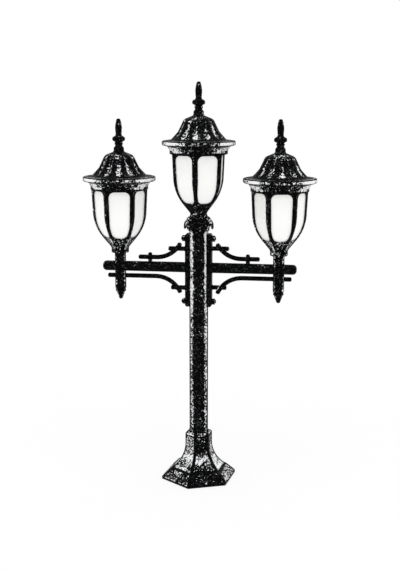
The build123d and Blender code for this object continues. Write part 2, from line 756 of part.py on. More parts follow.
def harp():
    """A closed strap round the lamp, from the cup's floor up to the roof bolt."""
    right = [
        (HARP_FOOT_HALF, CUP_FLOOR_H),
        (HARP_HALF, harp_floor_h + HARP_HIP_RISE),
        (HARP_HALF, harp_top_h - HARP_SHOULDER_DROP),
        (HARP_TOP_HALF, harp_top_h),
    ]
    left = [(-x, h) for x, h in reversed(right)]
    outer = make_face(FilletPolyline(*right, *left, radius=HARP_ROUND, close=True).edges())
    strap = Plane.XZ * (outer - offset(outer, -HARP_T))
    body = extrude(strap, amount=HARP_W / 2, both=True)
    body -= cylinder_z(pipe_r + FIXED_FIT, CUP_FLOOR_H, harp_floor_h)
    return body - cylinder_z(ROOF_BOLT_D / 2 + FIXED_FIT, harp_top_h - HARP_T, harp_top_h)


def lamp_pipe(drop):
    return cylinder_z(pipe_r, -drop, pipe_top_h) - cylinder_z(PIPE_BORE_D / 2, -drop, pipe_top_h)


def pipe_nut():
    return hexagon_prism(NUT_ACROSS, PIPE_NUT_T) - cylinder_z(pipe_r + FIXED_FIT, 0, PIPE_NUT_T)


def lampholder():
    top = holder_foot_h + HOLDER_H
    body = turned(
        [
            (HOLDER_FOOT_R, holder_foot_h),
            (HOLDER_FOOT_R, holder_foot_h + HOLDER_TAPER_H / 2),
            (HOLDER_R, holder_foot_h + HOLDER_TAPER_H),
            (HOLDER_R, top),
            (0, top),
        ],
        [HOLDER_ROUND, HOLDER_ROUND, HOLDER_ROUND],
    )
    body -= cylinder_z(LAMP_CAP_R + LAMP_CAP_FIT, lamp_foot_h, top)
    return body - cylinder_z(pipe_r + FIXED_FIT, holder_foot_h, pipe_top_h)


def lamp():
    neck_h = lamp_foot_h + LAMP_CAP_DEPTH + LAMP_CAP_PROUD
    top = lamp_foot_h + LAMP_H
    return turned(
        [
            (LAMP_CAP_R, lamp_foot_h),
            (LAMP_CAP_R, neck_h),
            (LAMP_R, lamp_foot_h + LAMP_SHOULDER_H),
            (LAMP_R, top),
            (0, top),
        ],
        [0, LAMP_NECK_ROUND, LAMP_CROWN_ROUND],
    )


# Assembly
nodes = {
    "ground_flange": ground_flange(),
    "cable_grommet": cable_grommet(),
    "pole": pole(),
    "base_cover": base_cover(),
    "crown": crown(),
    "bracket_studs": bracket_studs(),
    "bracket_washers": bracket_washers(),
    "bracket_nuts": bracket_nuts(),
}

bracket = {
    "bracket_plate": bracket_plate(),
    "arm": arm(),
    "arm_cap": arm_cap(),
    "upper_scroll": upper_scroll(),
    "lower_scroll": lower_scroll(),
    "scroll_stubs": scroll_stubs(),
    "scroll_peg": scroll_peg(),
    "lantern_stem": lantern_stem(),
    "drop_stem": drop_stem(),
    "drop_finial": drop_finial(),
}
for name, piece in bracket.items():
    nodes["right_" + name] = piece
    nodes["left_" + name] = Rot(0, 0, 180) * piece

lantern = {
    "cage": cage(),
    "panes": panes(),
    "roof": roof(),
    "roof_gasket": roof_gasket(),
    "finial": finial(),
    "harp": harp(),
    "lampholder": lampholder(),
    "lamp": lamp(),
}
places = {}
for side, (x, seat, turn) in LANTERNS.items():
    places[side] = Pos(x, 0, seat) * Rot(0, 0, turn)
    for name, piece in lantern.items():
        nodes[f"{side}_{name}"] = places[side] * piece
    drop = centre_pipe_drop if side == "centre" else side_pipe_drop
    nodes[f"{side}_lamp_pipe"] = places[side] * lamp_pipe(drop)

nodes["roof_bolts"] = group([place * roof_bolt() for place in places.values()])
cup_nuts = [place * Pos(0, 0, harp_floor_h) * pipe_nut() for place in places.values()]
crown_nut = Pos(0, 0, crown_plate_z - PIPE_NUT_T) * pipe_nut()
nodes["pipe_nuts"] = group(cup_nuts + [crown_nut])

os.makedirs("parts", exist_ok=True)
for name, piece in nodes.items():
    export_step(piece, f"parts/{name}.step")
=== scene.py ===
"""Outdoor post light with three six-sided lanterns, dressed over its solid model.

Metres, +Z up, arms along X, the viewer on the -Y side.
"""
import json
from math import atan2, cos, degrees, hypot, pi, radians, sin, tan

import bmesh
import bpy
from mathutils import Matrix, Vector


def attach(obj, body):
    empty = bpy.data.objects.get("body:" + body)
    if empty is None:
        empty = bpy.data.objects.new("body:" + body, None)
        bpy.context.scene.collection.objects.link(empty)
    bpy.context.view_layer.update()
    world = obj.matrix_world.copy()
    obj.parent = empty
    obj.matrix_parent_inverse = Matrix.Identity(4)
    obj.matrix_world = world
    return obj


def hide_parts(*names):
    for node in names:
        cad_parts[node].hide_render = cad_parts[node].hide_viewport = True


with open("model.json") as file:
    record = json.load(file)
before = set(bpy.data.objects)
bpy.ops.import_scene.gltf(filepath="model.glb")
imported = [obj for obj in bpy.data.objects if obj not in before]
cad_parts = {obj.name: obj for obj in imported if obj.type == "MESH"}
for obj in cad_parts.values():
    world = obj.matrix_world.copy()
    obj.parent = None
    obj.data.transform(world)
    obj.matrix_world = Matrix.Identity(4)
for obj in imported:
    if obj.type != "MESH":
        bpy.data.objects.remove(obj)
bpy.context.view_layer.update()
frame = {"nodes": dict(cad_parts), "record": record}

# Ground flange
# A steel disc with four anchor holes, zinc plated, under the base cover.
# The pole is welded to it all round, so a rippled bead runs round the pole's foot.
MM = 0.001
scene = bpy.context.scene


def hex_colour(code):
    """A linear RGBA colour from an sRGB hex code."""
    channels = [int(code[i : i + 2], 16) / 255 for i in (1, 3, 5)]
    return [c / 12.92 if c <= 0.04045 else ((c + 0.055) / 1.055) ** 2.4 for c in channels] + [1.0]


def add_node(tree, kind, settings=None, **inputs):
    """Adds a node with its settings; an input is named, or numbered as _0, and is linked or set."""
    node = tree.nodes.new(kind)
    for name, value in (settings or {}).items():
        setattr(node, name, value)
    for name, value in inputs.items():
        key = int(name[1:]) if name[0] == "_" else name.replace("_", " ")
        if isinstance(value, bpy.types.NodeSocket):
            tree.links.new(value, node.inputs[key])
        else:
            node.inputs[key].default_value = value
    return node


def new_finish(name):
    """A material, its node tree, its shader and the object coordinates its patterns use."""
    material = bpy.data.materials.new(name)
    material.use_nodes = True
    tree = material.node_tree
    place = add_node(tree, "ShaderNodeTexCoord").outputs["Object"]
    return material, tree, tree.nodes["Principled BSDF"], place


def two_tone(tree, factor, dark, light):
    """A colour that runs between two hex colours."""
    ramp = add_node(tree, "ShaderNodeValToRGB", Fac=factor)
    ramp.color_ramp.elements[0].color = hex_colour(dark)
    ramp.color_ramp.elements[1].color = hex_colour(light)
    return ramp.outputs["Color"]


def finish_nodes(material, *names):
    """Gives solid-model nodes their real finish."""
    for name in names:
        frame["nodes"][name].data.materials.clear()
        frame["nodes"][name].data.materials.append(material)


# Zinc plate is a thin bright coat on rolled steel: a cold grey with faint crystals and scuffs.
ZINC_CRYSTAL = 3 * MM
ZINC_SCUFF = 6 * MM
zinc_plate, tree, shader, place = new_finish("zinc plated steel")
crystals = add_node(tree, "ShaderNodeTexVoronoi", Vector=place, Scale=1 / ZINC_CRYSTAL)
scuffs = add_node(tree, "ShaderNodeTexNoise", Vector=place, Scale=1 / ZINC_SCUFF, Detail=6.0)
gloss = add_node(tree, "ShaderNodeMapRange", Value=scuffs.outputs["Fac"], To_Min=0.28, To_Max=0.5)
tree.links.new(two_tone(tree, crystals.outputs["Color"], "#9a9ea2", "#b9bcbe"), shader.inputs["Base Color"])
tree.links.new(gloss.outputs["Result"], shader.inputs["Roughness"])
shader.inputs["Metallic"].default_value = 1.0
finish_nodes(zinc_plate, "ground_flange")


def new_tree(name, **sizes):
    """A geometry tree with a mesh input and named sizes; returns the tree and its input sockets."""
    tree = bpy.data.node_groups.new(name, "GeometryNodeTree")
    tree.interface.new_socket("Mesh", in_out="INPUT", socket_type="NodeSocketGeometry")
    tree.interface.new_socket("Mesh", in_out="OUTPUT", socket_type="NodeSocketGeometry")
    for size, kind in sizes.items():
        tree.interface.new_socket(size, in_out="INPUT", socket_type="NodeSocket" + kind)
    sockets = add_node(tree, "NodeGroupInput").outputs
    return tree, sockets


def end_tree(tree, mesh):
    """Closes a geometry tree: real faces, smooth, with the material that its input names."""
    finish = tree.nodes["Group Input"].outputs["Finish"]
    real = add_node(tree, "GeometryNodeRealizeInstances", Geometry=mesh)
    smooth = add_node(tree, "GeometryNodeSetShadeSmooth", Geometry=real.outputs[0])
    finished = add_node(tree, "GeometryNodeSetMaterial", Geometry=smooth.outputs[0], Material=finish)
    add_node(tree, "NodeGroupOutput", Mesh=finished.outputs[0])


def grow(tree, mesh, **sizes):
    """Runs a geometry tree on a mesh and returns the plain mesh it makes."""
    seed = bpy.data.objects.new(tree.name, mesh)
    scene.collection.objects.link(seed)
    modifier = seed.modifiers.new(tree.name, "NODES")
    modifier.node_group = tree
    for item in tree.interface.items_tree:
        if item.in_out == "INPUT" and item.name in sizes:
            modifier[item.identifier] = sizes[item.name]
    result = bpy.data.meshes.new_from_object(seed.evaluated_get(bpy.context.evaluated_depsgraph_get()))
    bpy.data.objects.remove(seed)
    return result


def set_piece(name, mesh, body, slot, *nodes):
    """Links a finished piece, which rides on a body and may stand for solid-model nodes."""
    piece = bpy.data.objects.new(name, mesh)
    scene.collection.objects.link(piece)
    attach(piece, body)
    if nodes:
        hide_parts(*nodes)


# The bead tree follows a line of edges and sets one flattened drop of weld metal at each step.
DROP_SHAPE = (1.0, 1.0, 0.62)
weld_tree, sockets = new_tree("weld bead", Bead="Float", Step="Float", Finish="Material")
line = add_node(weld_tree, "GeometryNodeMeshToCurve", Mesh=sockets["Mesh"])
steps = {"Curve": line.outputs[0], "Length": sockets["Step"]}
steps = add_node(weld_tree, "GeometryNodeResampleCurve", {"mode": "LENGTH"}, **steps)
along = add_node(weld_tree, "GeometryNodeInputTangent")
lean = add_node(weld_tree, "FunctionNodeAlignRotationToVector", Vector=along.outputs[0])
drop = add_node(weld_tree, "GeometryNodeMeshIcoSphere", Radius=sockets["Bead"], Subdivisions=2)
drops = {"Points": steps.outputs[0], "Instance": drop.outputs[0], "Rotation": lean.outputs[0]}
drops = add_node(weld_tree, "GeometryNodeInstanceOnPoints", Scale=DROP_SHAPE, **drops)
end_tree(weld_tree, drops.outputs[0])


def ring_line(radius, matrix, start=0.0, end=360.0, count=72):
    """A line of edges round a circle, or along part of it, moved by a matrix."""
    mesh = bpy.data.meshes.new("ring line")
    closed = end - start >= 360.0
    places = [radians(start + (end - start) * i / count) for i in range(count if closed else count + 1)]
    points = [matrix @ Vector((radius * cos(a), radius * sin(a), 0)) for a in places]
    edges = [(i, i + 1) for i in range(len(points) - 1)] + ([(len(points) - 1, 0)] if closed else [])
    mesh.from_pydata(points, edges, [])
    return mesh


POLE_R = 30 * MM
FLANGE_TOP = 8 * MM
FLANGE_BEAD = 3.2 * MM
FLANGE_BEAD_STEP = 2.4 * MM
FLANGE_BEAD_PROUD = 0.5 * MM
foot_ring = Matrix.Translation((0, 0, FLANGE_TOP + FLANGE_BEAD_PROUD))
flange_line = ring_line(POLE_R + FLANGE_BEAD_PROUD, foot_ring)
flange_bead = grow(weld_tree, flange_line, Bead=FLANGE_BEAD, Step=FLANGE_BEAD_STEP, Finish=zinc_plate)
set_piece("flange_weld", flange_bead, "post", "zinc_steel")

# Cable grommet
# A moulded rubber ring in the flange, where the supply cable comes up into the pole.
# Rubber is matt black, with a fine bloom on its skin.
RUBBER_BLOOM = 4 * MM
rubber, tree, shader, place = new_finish("moulded black rubber")
bloom = add_node(tree, "ShaderNodeTexNoise", Vector=place, Scale=1 / RUBBER_BLOOM, Detail=4.0)
tree.links.new(two_tone(tree, bloom.outputs["Fac"], "#161616", "#2b2b2a"), shader.inputs["Base Color"])
shader.inputs["Roughness"].default_value = 0.75
finish_nodes(rubber, "cable_grommet")

# Pole
# A drawn steel tube, welded to the flange, that carries everything above it.
# It is painted for outdoors, and the same paint covers the castings, brackets and finials.
PAINT_GRAIN = 6 * MM
PAINT_PATCH = 40 * MM
PAINT_SPECK = 7 * MM
HIGHLIGHT_WEIGHT = 0.14
HIGHLIGHT_TURN = radians(8)
HIGHLIGHT_SIDE = Vector((cos(HIGHLIGHT_TURN), sin(HIGHLIGHT_TURN), 0.0))
SHADED = -0.08
POLE_FRONT = -0.005
POLE_FRONT_RISE = -0.02
POLE_FLANK = -0.11
POLE_FLANK_RISE = 0.3

# The paint is black with a coarse skin and faint grey specks. Its pale silver flecks are painted highlights:
# they lie on faces turned to both sides and up, as if lit from there, and the front stays black.
# The real grain is about 2 mm; it is drawn at 6 mm so that it still shows at the photo's distance.
black_paint, tree, shader, place = new_finish("black textured paint with painted highlight flecks")
grain = add_node(tree, "ShaderNodeTexNoise", Vector=place, Scale=1 / PAINT_GRAIN, Detail=4.0, Roughness=0.67)
patch = add_node(tree, "ShaderNodeTexNoise", Vector=place, Scale=1 / PAINT_PATCH, Detail=2.0)
facing = add_node(tree, "ShaderNodeTexCoord").outputs["Normal"]
upward = add_node(tree, "ShaderNodeSeparateXYZ", Vector=facing).outputs["Z"]
sideways = add_node(tree, "ShaderNodeVectorMath", {"operation": "DOT_PRODUCT"}, _0=facing, _1=HIGHLIGHT_SIDE)
sideways = add_node(tree, "ShaderNodeMath", {"operation": "ABSOLUTE"}, _0=sideways.outputs["Value"])
smooth_range = {"interpolation_type": "SMOOTHSTEP"}
# Painted highlight on faces turned to either side or up, with a painted dark rim where faces turn fully
# sideways.
flank = {"Value": sideways.outputs[0], "From_Min": 0.5, "From_Max": 0.68}
flank = add_node(tree, "ShaderNodeMapRange", smooth_range, **flank)
painted_dark_rim = {"Value": sideways.outputs[0], "From_Min": 0.84, "From_Max": 0.93, "To_Min": 1.0, "To_Max": -0.6}
painted_dark_rim = add_node(tree, "ShaderNodeMapRange", smooth_range, **painted_dark_rim)
flank = add_node(tree, "ShaderNodeMath", {"operation": "MULTIPLY"}, _0=flank.outputs[0], _1=painted_dark_rim.outputs[0])
above = {"Value": upward, "From_Min": 0.4, "From_Max": 1.0, "To_Max": 0.5}
above = add_node(tree, "ShaderNodeMapRange", smooth_range, **above)
side_and_top_highlight = add_node(tree, "ShaderNodeMath", {"operation": "MAXIMUM"}, _0=flank.outputs[0], _1=above.outputs[0])
side_and_top_highlight = add_node(tree, "ShaderNodeMath", {"operation": "MULTIPLY"}, _0=side_and_top_highlight.outputs[0], _1=HIGHLIGHT_WEIGHT)
uneven = {"From_Min": 0.3, "From_Max": 0.7, "To_Min": -0.06, "To_Max": 0.06}
uneven = add_node(tree, "ShaderNodeMapRange", Value=patch.outputs["Fac"], **uneven)
painted_highlight_level = add_node(tree, "ShaderNodeAttribute", {"attribute_name": "painted_highlight_level"})
height = grain.outputs["Fac"]
for layer in (side_and_top_highlight.outputs[0], uneven.outputs["Result"], painted_highlight_level.outputs["Fac"]):
    height = add_node(tree, "ShaderNodeMath", _0=height, _1=layer).outputs["Value"]
# Past a threshold the sum shows as a pale painted highlight fleck.
highlight_flecks = add_node(tree, "ShaderNodeMapRange", Value=height, From_Min=0.64, From_Max=0.68)
speck = add_node(tree, "ShaderNodeTexNoise", Vector=place, Scale=1 / PAINT_SPECK, Detail=1.0)
speck = add_node(tree, "ShaderNodeMapRange", Value=speck.outputs["Fac"], From_Min=0.57, From_Max=0.7)
black = two_tone(tree, speck.outputs["Result"], "#020203", "#2b2c2e")
tint = {"_0": highlight_flecks.outputs["Result"], "_6": black, "_7": hex_colour("#f2f3f4")}
tint = add_node(tree, "ShaderNodeMix", {"data_type": "RGBA"}, **tint)
gloss = add_node(tree, "ShaderNodeMapRange", Value=highlight_flecks.outputs["Result"], To_Min=0.48, To_Max=0.38)
bump = add_node(tree, "ShaderNodeBump", Height=grain.outputs["Fac"], Strength=0.6, Distance=1.0 * MM)
tree.links.new(tint.outputs[2], shader.inputs["Base Color"])
tree.links.new(gloss.outputs["Result"], shader.inputs["Roughness"])
tree.links.new(bump.outputs["Normal"], shader.inputs["Normal"])
shader.inputs["Specular IOR Level"].default_value = 0.03


def painted_highlight(mesh, level):
    """Stores how much more or less painted highlight the paint has at each point; level is a rule for a
    place.
    """
    values = mesh.attributes.new("painted_highlight_level", "FLOAT", "POINT").data
    values.foreach_set("value", [level(vertex.co) for vertex in mesh.vertices])


painted = [row["node"] for row in frame["record"]["subparts"] if row["material_slot"] == "black_paint"]
finish_nodes(black_paint, *painted)
# Most painted pieces keep a low painted highlight level.
for node in painted:
    if node != "pole" and not node.endswith(("_stem", "_finial")):
        painted_highlight(frame["nodes"][node].data, lambda place: SHADED)


def beside(place, axis):
    """0 in front of or behind an upright axis, and 1 beside it."""
    out = Vector((place.x - axis.x, place.y - axis.y, 0.0))
    return abs(out.dot(HIGHLIGHT_SIDE)) / max(out.length, MM)


def round_highlight(turned, front, flank):
    """Painted highlight on a round piece: one level in front and behind, another at the flanks."""
    return front + (flank - front) * turned**2


def pole_highlight(place):
    """The pole's two painted highlight levels, which change with every metre of height."""
    front = POLE_FRONT + POLE_FRONT_RISE * place.z
    flank = POLE_FLANK + POLE_FLANK_RISE * place.z
    return round_highlight(beside(place, Vector()), front, flank)


painted_highlight(frame["nodes"]["pole"].data, pole_highlight)

# Base cover and crown
# Two sand castings that slip over the pole: a flared six-sided foot, and a collar of drooping petals
# under the centre lantern. A casting has no sharp edge, so each copy of the solid is softened.
BASE_SKIN = 1.6 * MM
BASE_TURN = -8.0
BASE_FACE_TURN = 60.0
BASE_FOOT_H = 8 * MM
BASE_LEDGE_H = 36 * MM
BASE_FLARE_FADE = 36 * MM
BASE_BAND_H = 70 * MM
BASE_BAND_HALF = 24 * MM
BASE_SHOULDER_H = 145 * MM
BASE_EDGE = 2.5 * MM
PAINTED_SHADE_LEVEL = -0.2
SHOULDER_LEVEL = 0.07
CROWN_SKIN = 0.9 * MM
CROWN_FRONT = -0.01
CROWN_FALL = 1.0
MERGE_GAP = 0.001 * MM

# For each pair of opposite faces: the width of the painted shade at its corners, the painted highlight level
# below the ledge, the level above it, and what the painted highlight band and the foot of the flare add
# there.
BASE_FACES = (
    (8.75 * MM, -0.035, 0.1, 0.0, 0.0),
    (5 * MM, 0.045, -0.02, 0.06, 0.16),
    (5 * MM, -0.03, 0.0, 0.19, 0.0),
)


def cast_mesh(node, skin, level, passes=3):
    """The node's shape with the soft edges of a casting, its faces about as large as the skin size."""
    mesh = frame["nodes"][node].data.copy()
    shape = bmesh.new()
    shape.from_mesh(mesh)
    bmesh.ops.remove_doubles(shape, verts=shape.verts, dist=MERGE_GAP)
    shape.to_mesh(mesh)
    shape.free()
    seed = bpy.data.objects.new("casting", mesh)
    scene.collection.objects.link(seed)
    remesh = seed.modifiers.new("skin", "REMESH")
    remesh.mode = "VOXEL"
    remesh.voxel_size = skin
    soften = seed.modifiers.new("soften", "SMOOTH")
    soften.factor = 0.5
    soften.iterations = passes
    result = bpy.data.meshes.new_from_object(seed.evaluated_get(bpy.context.evaluated_depsgraph_get()))
    bpy.data.objects.remove(seed)
    result.shade_smooth()
    result.materials.clear()
    result.materials.append(black_paint)
    painted_highlight(result, level)
    return result


def base_highlight(place):
    """Painted shade along the casting's edges and foot; the faces and shoulder have their own painted
    highlight.
    """
    angle = degrees(atan2(place.y, place.x)) - BASE_TURN
    corner, below, above, in_band, at_flare = BASE_FACES[round(angle / BASE_FACE_TURN) % len(BASE_FACES)]
    from_corner = hypot(place.x, place.y) * radians(abs(angle % BASE_FACE_TURN - BASE_FACE_TURN / 2))
    line = min(abs(place.z - BASE_LEDGE_H), abs(place.z - BASE_SHOULDER_H))
    if place.z < BASE_FOOT_H or line < BASE_EDGE or from_corner < corner:
        return PAINTED_SHADE_LEVEL
    if place.z > BASE_SHOULDER_H:
        return SHOULDER_LEVEL
    if place.z < BASE_LEDGE_H:
        return below
    band = max(0.0, 1 - abs(place.z - BASE_BAND_H) / BASE_BAND_HALF)
    flare = max(0.0, 1 - (place.z - BASE_LEDGE_H) / BASE_FLARE_FADE)
    return above + in_band * band + at_flare * flare


def crown_highlight(place):
    """A little less painted highlight with each metre from the crown's middle towards its sides."""
    return CROWN_FRONT - CROWN_FALL * abs(place.dot(HIGHLIGHT_SIDE))


base_cover = cast_mesh("base_cover", BASE_SKIN, base_highlight)
crown = cast_mesh("crown", CROWN_SKIN, crown_highlight)
set_piece("cast_base_cover", base_cover, "base_cover", "black_paint", "base_cover")
set_piece("cast_crown", crown, "post", "black_paint", "crown")

# Side brackets
# Tapered arms and scroll rods, welded to a saddle plate that two studs draw against the pole.
# The nuts have turned chamfers, and the welds are painted over with the rest.
PLATE_X = 42 * MM
ARM_Z = 695.5 * MM
STUD_SPAN = 202 * MM
STUD_MIDDLE = 687.5 * MM
NUT_ACROSS = 17 * MM
NUT_T = 8.4 * MM
NUT_X = 48.2 * MM
NUT_BORE_R = 5.05 * MM
NUT_FACE = 0.97
NUT_SLOPE = 0.5
NUT_LEVEL = 0.05
NUT_SHARP = radians(25)


def nut_mesh(across, thickness, bore, sides=48):
    """A six-sided nut on the XY plane, its corners turned off at both ends, with a round bore."""
    angles = [2 * pi * i / sides for i in range(sides)]
    flat = across / 2
    face = NUT_FACE * flat
    reach = [flat / cos(a % (pi / 3) - pi / 6) for a in angles]
    rings = [
        [(bore, 0.0) for r in reach],
        [(face, 0.0) for r in reach],
        [(r, NUT_SLOPE * (r - face)) for r in reach],
        [(r, thickness - NUT_SLOPE * (r - face)) for r in reach],
        [(face, thickness) for r in reach],
        [(bore, thickness) for r in reach],
    ]
    points = [(r * cos(a), r * sin(a), h) for ring in rings for (r, h), a in zip(ring, angles)]
    faces = []
    for i in range(len(rings)):
        low, high = i * sides, (i + 1) % len(rings) * sides
        for j in range(sides):
            k = (j + 1) % sides
            faces.append((low + j, low + k, high + k, high + j))
    mesh = bpy.data.meshes.new("nut")
    mesh.from_pydata(points, [], faces)
    return mesh


# The nut tree lays one nut on its side at each corner of an upright rectangle.
nut_tree, sockets = new_tree("stud nuts", Width="Float", Height="Float", Lift="Vector", Finish="Material")
corners = {"Size_X": sockets["Width"], "Size_Y": sockets["Height"], "Vertices_X": 2, "Vertices_Y": 2}
corners = add_node(nut_tree, "GeometryNodeMeshGrid", **corners)
upright = {"Translation": sockets["Lift"], "Rotation": (pi / 2, 0.0, 0.0)}
upright = add_node(nut_tree, "GeometryNodeTransform", Geometry=corners.outputs[0], **upright)
nuts = {"Points": upright.outputs[0], "Instance": sockets["Mesh"], "Rotation": (0.0, pi / 2, 0.0)}
nuts = add_node(nut_tree, "GeometryNodeInstanceOnPoints", **nuts)
end_tree(nut_tree, nuts.outputs[0])
nut = nut_mesh(NUT_ACROSS, NUT_T, NUT_BORE_R)
nut.transform(Matrix.Translation((0, 0, -NUT_T / 2)))
lift = (0.0, 0.0, STUD_MIDDLE)
stud_nuts = grow(nut_tree, nut, Width=2 * NUT_X, Height=STUD_SPAN, Lift=lift, Finish=black_paint)
stud_nuts.set_sharp_from_angle(angle=NUT_SHARP)
# The nuts take a little more painted highlight than the other painted pieces.
painted_highlight(stud_nuts, lambda place: NUT_LEVEL)
set_piece("chamfered_stud_nuts", stud_nuts, "post", "black_paint", "bracket_nuts")

# A bead runs along both sides of the arm's end, and round the free side of each rod's stub.
BRACKET_BEAD = 1.8 * MM
BRACKET_BEAD_STEP = 1.5 * MM
ARM_SEAM_R = 16.8 * MM
ARM_SEAM_STARTS = (48, 228)
ARM_SEAM_SWEEP = 84
STUB_SEAM_R = 7.6 * MM
STUB_SEAM = (60, 300)
STUB_Y = 8 * MM
STUB_RISES = (60.5 * MM, -64.5 * MM)
SEAM_PARTS = 24
on_plate = Matrix(((0, 0, 1, PLATE_X), (1, 0, 0, 0), (0, 1, 0, ARM_Z), (0, 0, 0, 1)))
seams = bmesh.new()
for start in ARM_SEAM_STARTS:
    seams.from_mesh(ring_line(ARM_SEAM_R, on_plate, start, start + ARM_SEAM_SWEEP, SEAM_PARTS))
for rise in STUB_RISES:
    on_stub = Matrix.Translation((0, STUB_Y, rise)) @ on_plate
    seams.from_mesh(ring_line(STUB_SEAM_R, on_stub, *STUB_SEAM, SEAM_PARTS))
right_seams = bpy.data.meshes.new("seams")
seams.to_mesh(right_seams)
seams.free()
for side, turn in (("right", 0), ("left", 180)):
    seam = right_seams.copy()
    seam.transform(Matrix.Rotation(radians(turn), 4, "Z"))
    welds = grow(weld_tree, seam, Bead=BRACKET_BEAD, Step=BRACKET_BEAD_STEP, Finish=black_paint)
    painted_highlight(welds, lambda place: SHADED)
    set_piece(f"{side}_bracket_welds", welds, "post", "black_paint")

# Lantern cages
# Each lantern is a cast tulip of six ribs between a cup and a round top ring. The lamp pipe holds it down
# on its stem or on the crown. The front of the cup has more painted highlight than its sides.
LANTERNS = {
    "centre": (Vector((0, 0, 852 * MM)), 0.0),
    "left": (Vector((-253 * MM, 0, 739 * MM)), -18.0),
    "right": (Vector((253 * MM, 0, 739 * MM)), -21.0),
}
CAGE_SKIN = 1.1 * MM
CAGE_PASSES = 2
CUP_H = 50 * MM
CUP_FRONT = 0.025
CUP_FLANK = -0.14
RIB_SHADE = -0.12


def cage_highlight(place, axis):
    """Painted highlight flecks on the cup, and nearly black ribs."""
    on_cup = place.z < axis.z + CUP_H
    return round_highlight(beside(place, axis), CUP_FRONT, CUP_FLANK) if on_cup else RIB_SHADE


for side, (seat, turn) in LANTERNS.items():
    cage = cast_mesh(f"{side}_cage", CAGE_SKIN, lambda place: cage_highlight(place, seat), CAGE_PASSES)
    set_piece(f"{side}_cast_cage", cage, "post", "black_paint", f"{side}_cage")

# Panes
# Opal acrylic sheet, bent to the tulip's curve and held behind the windows of the cage.
# It is milky white right through, with a gloss skin. A faint glow stands for the daylight it passes.
OPAL_CLOUD = 60 * MM
PANE_GLOW = 0.15
opal_sheet, tree, shader, place = new_finish("opal acrylic sheet")
cloud = add_node(tree, "ShaderNodeTexNoise", Vector=place, Scale=1 / OPAL_CLOUD, Detail=2.0)
tree.links.new(two_tone(tree, cloud.outputs["Fac"], "#e8e8e5", "#eeeeec"), shader.inputs["Base Color"])
shader.inputs["Roughness"].default_value = 0.25
shader.inputs["Emission Color"].default_value = (1.0, 1.0, 1.0, 1.0)
shader.inputs["Emission Strength"].default_value = PANE_GLOW
finish_nodes(opal_sheet, *(f"{side}_panes" for side in LANTERNS))

# Lamp fittings
# Inside each cup a brass pipe and its nut hold a strap harp and a white lampholder with an opal lamp.
# The harp is zinc-plated strip, bent round the lamp.
finish_nodes(zinc_plate, *(f"{side}_harp" for side in LANTERNS))

# Plain brass is drawn and cut, and left bare: a warm yellow metal with duller patches of tarnish.
BRASS_TARNISH = 9 * MM
brass, tree, shader, place = new_finish("plain brass")
tarnish = add_node(tree, "ShaderNodeTexNoise", Vector=place, Scale=1 / BRASS_TARNISH, Detail=4.0)
tree.links.new(two_tone(tree, tarnish.outputs["Fac"], "#a5843f", "#d3b268"), shader.inputs["Base Color"])
shader.inputs["Metallic"].default_value = 1.0
shader.inputs["Roughness"].default_value = 0.32
finish_nodes(brass, "pipe_nuts", *(f"{side}_lamp_pipe" for side in LANTERNS))

# Porcelain is pressed, glazed and fired: a creamy white with faint specks under a hard gloss.
GLAZE_SPECK = 5 * MM
porcelain, tree, shader, place = new_finish("glazed porcelain")
specks = add_node(tree, "ShaderNodeTexNoise", Vector=place, Scale=1 / GLAZE_SPECK, Detail=3.0)
tree.links.new(two_tone(tree, specks.outputs["Fac"], "#e9e6dc", "#f3f1ea"), shader.inputs["Base Color"])
shader.inputs["Roughness"].default_value = 0.15
finish_nodes(porcelain, *(f"{side}_lampholder" for side in LANTERNS))

# The lamp's glass is blown and coated white inside, which gives a soft, slightly clouded white.
opal_glass, tree, shader, place = new_finish("opal lamp glass")
cloud = add_node(tree, "ShaderNodeTexNoise", Vector=place, Scale=1 / OPAL_CLOUD, Detail=2.0)
tree.links.new(two_tone(tree, cloud.outputs["Fac"], "#f3f2ee", "#fbfaf7"), shader.inputs["Base Color"])
shader.inputs["Roughness"].default_value = 0.3
finish_nodes(opal_glass, *(f"{side}_lamp" for side in LANTERNS))

# Roof bolts
# A long zinc-plated bolt stands head down in each harp. Its thread is drawn as rings, where the
# roof's finial screws on. Its sizes are millimetres, with heights above the lantern's seat.
BOLT_R = 4.0
BOLT_ROOT_R = 3.4
BOLT_PITCH = 1.25
BOLT_HEAD_H = 254.7
BOLT_HEAD_ACROSS = 13.0
BOLT_HEAD_BORE = 1.0
BOLT_FOOT_H = 260.0
BOLT_THREAD_H = 310.0
BOLT_TOP_H = 350.0
BOLT_SEGMENTS = 24


def lathe_mesh(name, outline, segments, closed):
    """A body turned about Z from (radius, height) points in millimetres."""
    mesh = bpy.data.meshes.new(name)
    angles = [2 * pi * j / segments for j in range(segments)]
    points = [(p.x * cos(a) * MM, p.x * sin(a) * MM, p.y * MM) for p in outline for a in angles]
    rings = len(outline)
    faces = []
    for i in range(rings if closed else rings - 1):
        low, high = i * segments, (i + 1) % rings * segments
        for j in range(segments):
            k = (j + 1) % segments
            faces.append((low + j, low + k, high + k, high + j))
    mesh.from_pydata(points, [], faces)
    shape = bmesh.new()
    shape.from_mesh(mesh)
    bmesh.ops.remove_doubles(shape, verts=shape.verts, dist=MERGE_GAP)
    bmesh.ops.recalc_face_normals(shape, faces=shape.faces)
    shape.to_mesh(mesh)
    shape.free()
    return mesh


